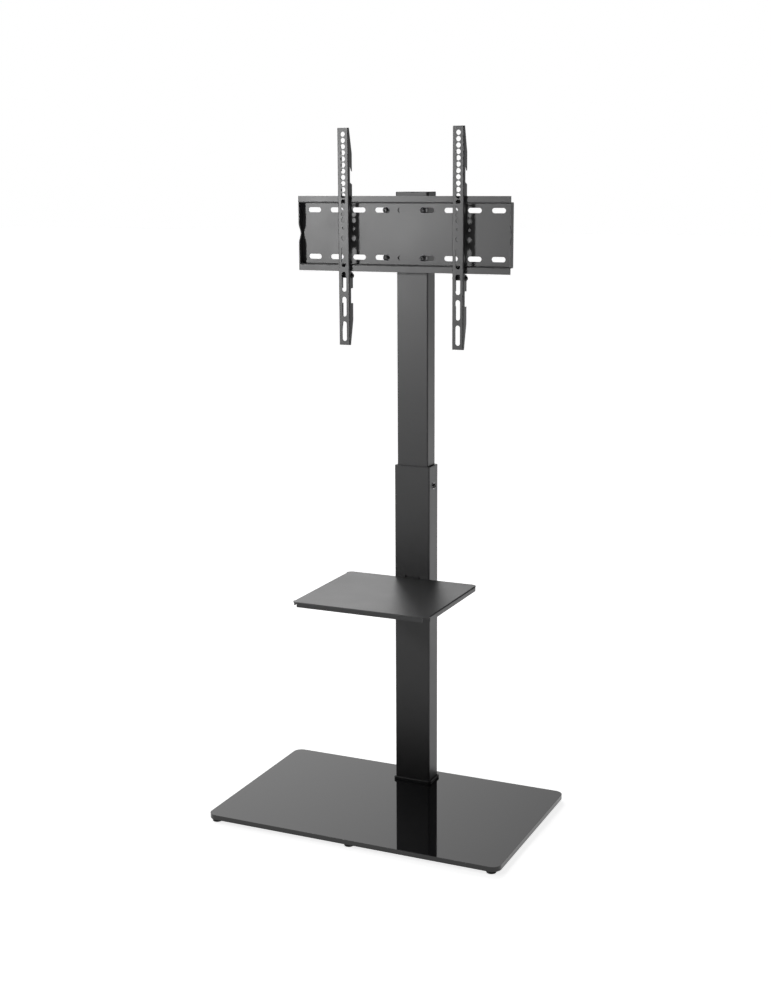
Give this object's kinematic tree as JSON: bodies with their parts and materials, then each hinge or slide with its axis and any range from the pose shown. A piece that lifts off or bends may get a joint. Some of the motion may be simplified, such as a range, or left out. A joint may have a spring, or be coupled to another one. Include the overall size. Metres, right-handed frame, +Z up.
{
  "type": "television floor stand",
  "caption": "Floor stand for a flat screen: dark glass base on rubber feet, telescoping steel column with a shelf, and a slotted mount plate with sliding hook-on arms.",
  "frame": {"origin": "middle of the glass base in plan, on the floor under its feet", "axes": "+Z up along the column; -Y is the front, where the screen and the shelf are; +X is the viewer's right and the side of the column's lock screw"},
  "size_m": [0.64, 0.405, 1.3985],
  "materials": {
    "steel_black": "fine matt powder coat",
    "glass_black": "polished, dark and opaque",
    "plastic_black": "satin",
    "rubber_black": "matt",
    "screw_black": "black zinc",
    "zinc": "bright zinc"
  },
  "bodies": {
    "base": {"base_glass": "glass_black", "foot_front_left": "rubber_black", "foot_front_middle": "rubber_black", "foot_front_right": "rubber_black", "foot_back_left": "rubber_black", "foot_back_middle": "rubber_black", "foot_back_right": "rubber_black", "under_plate": "steel_black", "base_bolts": "screw_black", "glass_bushes": "plastic_black", "column_foot_plate": "steel_black", "base_collar": "plastic_black", "lower_column": "steel_black", "glide_sleeve": "plastic_black", "lock_screw": "screw_black", "lock_nut": "zinc", "shelf": "steel_black", "shelf_screws": "screw_black", "shelf_nuts": "zinc"},
    "head": {"upper_column": "steel_black", "column_glide": "plastic_black", "column_cap": "plastic_black", "head_bracket": "steel_black", "mount_plate": "steel_black", "plate_bolts": "screw_black", "plate_washers": "screw_black", "plate_nuts": "zinc"},
    "left_arm": {"arm_left": "steel_black", "arm_left_screw": "screw_black", "arm_left_nut": "screw_black", "arm_left_stop": "plastic_black"},
    "right_arm": {"arm_right": "steel_black", "arm_right_screw": "screw_black", "arm_right_nut": "screw_black", "arm_right_stop": "plastic_black"}
  },
  "joints": [
    {"name": "column_slide", "type": "slide", "parent": "base", "child": "head", "axis": [0, 0, 1], "range_m": [0, 0.1]},
    {"name": "left_arm_slide", "type": "slide", "parent": "head", "child": "left_arm", "axis": [1, 0, 0], "range_m": [-0.094, 0.104]},
    {"name": "right_arm_slide", "type": "slide", "parent": "head", "child": "right_arm", "axis": [1, 0, 0], "range_m": [-0.104, 0.094]}
  ]
}
